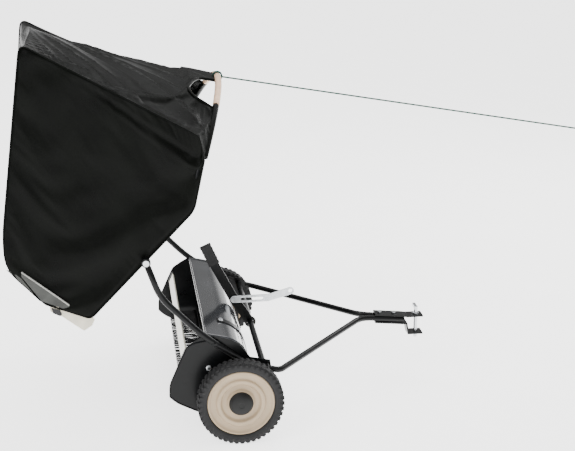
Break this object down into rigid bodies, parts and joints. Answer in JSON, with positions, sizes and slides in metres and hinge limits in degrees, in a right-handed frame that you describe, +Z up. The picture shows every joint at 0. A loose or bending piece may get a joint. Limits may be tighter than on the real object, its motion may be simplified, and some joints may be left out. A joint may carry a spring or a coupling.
{
  "type": "lawn sweeper",
  "caption": "Tow-behind lawn sweeper in its dumping pose: fabric hopper tipped up on two arms, geared brush under a hood, drawbar with height lever, clevis and dump rope.",
  "frame": {"origin": "on the ground, below the middle of the machine's box, the rope and its toggle left out", "axes": "+X forwards to the tractor, +Y to the machine's left, +Z up"},
  "size_m": [2.1788, 1.0892, 1.4029],
  "materials": {
    "tyre_rubber": "matt moulded tread",
    "cream_plastic": "satin moulded",
    "dark_plastic": "satin moulded",
    "gear_plastic": "satin moulded",
    "core_plastic": "satin moulded",
    "zinc": "zinc plated",
    "bare_steel": "bright drawn",
    "bristle": "nylon bristle",
    "hood_paint": "gloss black paint",
    "black_paint": "gloss black paint",
    "vinyl": "coated woven vinyl",
    "tan_tube": "tan satin coat",
    "cream_strip": "semi-gloss",
    "rope_fibre": "braided cord",
    "grip_rubber": "matt"
  },
  "bodies": {
    "housing": {"right_axle_bolt": "zinc", "right_brush_bush": "dark_plastic", "right_side_panel": "black_paint", "right_hopper_arm": "black_paint", "right_arm_eye": "black_paint", "left_axle_bolt": "zinc", "left_brush_bush": "dark_plastic", "left_side_panel": "black_paint", "left_hopper_arm": "black_paint", "left_arm_eye": "black_paint", "hood": "hood_paint", "hood_band": "black_paint", "rear_strip": "cream_strip", "dump_rope": "rope_fibre", "rope_toggle": "grip_rubber"},
    "right_wheel": {"right_tyre": "tyre_rubber", "right_rim": "cream_plastic", "right_hub_cap": "dark_plastic"},
    "left_wheel": {"left_tyre": "tyre_rubber", "left_rim": "cream_plastic", "left_hub_cap": "dark_plastic"},
    "right_pinion": {"right_pinion": "gear_plastic"},
    "left_pinion": {"left_pinion": "gear_plastic"},
    "brush": {"brush_shaft": "bare_steel", "brush_core": "core_plastic", "brush_row_1": "bristle", "brush_row_2": "bristle", "brush_row_3": "bristle", "brush_row_4": "bristle"},
    "hopper": {"right_pivot_pin": "zinc", "left_pivot_pin": "zinc", "right_hopper_frame": "black_paint", "right_mouth_tube": "tan_tube", "left_hopper_frame": "black_paint", "left_mouth_tube": "tan_tube", "hopper_top_bar": "black_paint", "hopper_front_bar": "black_paint", "hopper_mouth_bar": "tan_tube", "right_bow_tube": "black_paint", "bow_handle": "tan_tube", "left_bow_tube": "black_paint", "right_bag_side": "vinyl", "left_bag_side": "vinyl", "bag_floor": "vinyl", "bag_apron": "vinyl", "bag_rear": "vinyl", "rope_knot": "rope_fibre"},
    "drawbar": {"cross_tube": "black_paint", "right_drawbar_tube": "black_paint", "left_drawbar_tube": "black_paint", "clevis_upper_plate": "black_paint", "clevis_lower_plate": "black_paint", "hitch_bolt_1": "zinc", "hitch_bolt_2": "zinc", "height_lever": "black_paint", "lever_grip": "grip_rubber", "lever_bolt": "zinc"},
    "lock_strap": {"lock_strap": "zinc"},
    "hitch_pin": {"hitch_pin": "zinc"}
  },
  "joints": [
    {"name": "right_wheel_spin", "type": "hinge", "parent": "housing", "child": "right_wheel", "pos_m": [0.0085, 0, 0.15193], "axis": [0, 1, 0], "continuous": true},
    {"name": "left_wheel_spin", "type": "hinge", "parent": "housing", "child": "left_wheel", "pos_m": [0.0085, 0, 0.15193], "axis": [0, 1, 0], "continuous": true},
    {"name": "right_pinion_spin", "type": "hinge", "parent": "housing", "child": "right_pinion", "pos_m": [-0.0635, 0, 0.15193], "axis": [0, 1, 0], "continuous": true},
    {"name": "left_pinion_spin", "type": "hinge", "parent": "housing", "child": "left_pinion", "pos_m": [-0.0635, 0, 0.15193], "axis": [0, 1, 0], "continuous": true},
    {"name": "brush_spin", "type": "hinge", "parent": "housing", "child": "brush", "pos_m": [-0.0635, 0, 0.15193], "axis": [0, 1, 0], "continuous": true},
    {"name": "hopper_tip", "type": "hinge", "parent": "housing", "child": "hopper", "pos_m": [-0.3025, 0, 0.65693], "axis": [0, 1, 0], "range_deg": [-78, 0]},
    {"name": "height_adjust", "type": "hinge", "parent": "housing", "child": "drawbar", "pos_m": [0.0985, 0, 0.25193], "axis": [0, 1, 0], "range_deg": [-3, 12]},
    {"name": "lock_strap_swing", "type": "hinge", "parent": "drawbar", "child": "lock_strap", "pos_m": [0.0375, 0, 0.34693], "axis": [0, 1, 0], "range_deg": [-60, 35]},
    {"name": "hitch_pin_lift", "type": "slide", "parent": "drawbar", "child": "hitch_pin", "axis": [0, 0, 1], "range_m": [0, 0.12]}
  ],
  "couplings": [
    {"joint": "right_pinion_spin", "follows": "right_wheel_spin", "ratio": 5},
    {"joint": "left_pinion_spin", "follows": "left_wheel_spin", "ratio": 5},
    {"joint": "brush_spin", "follows": "right_wheel_spin", "ratio": 5}
  ]
}
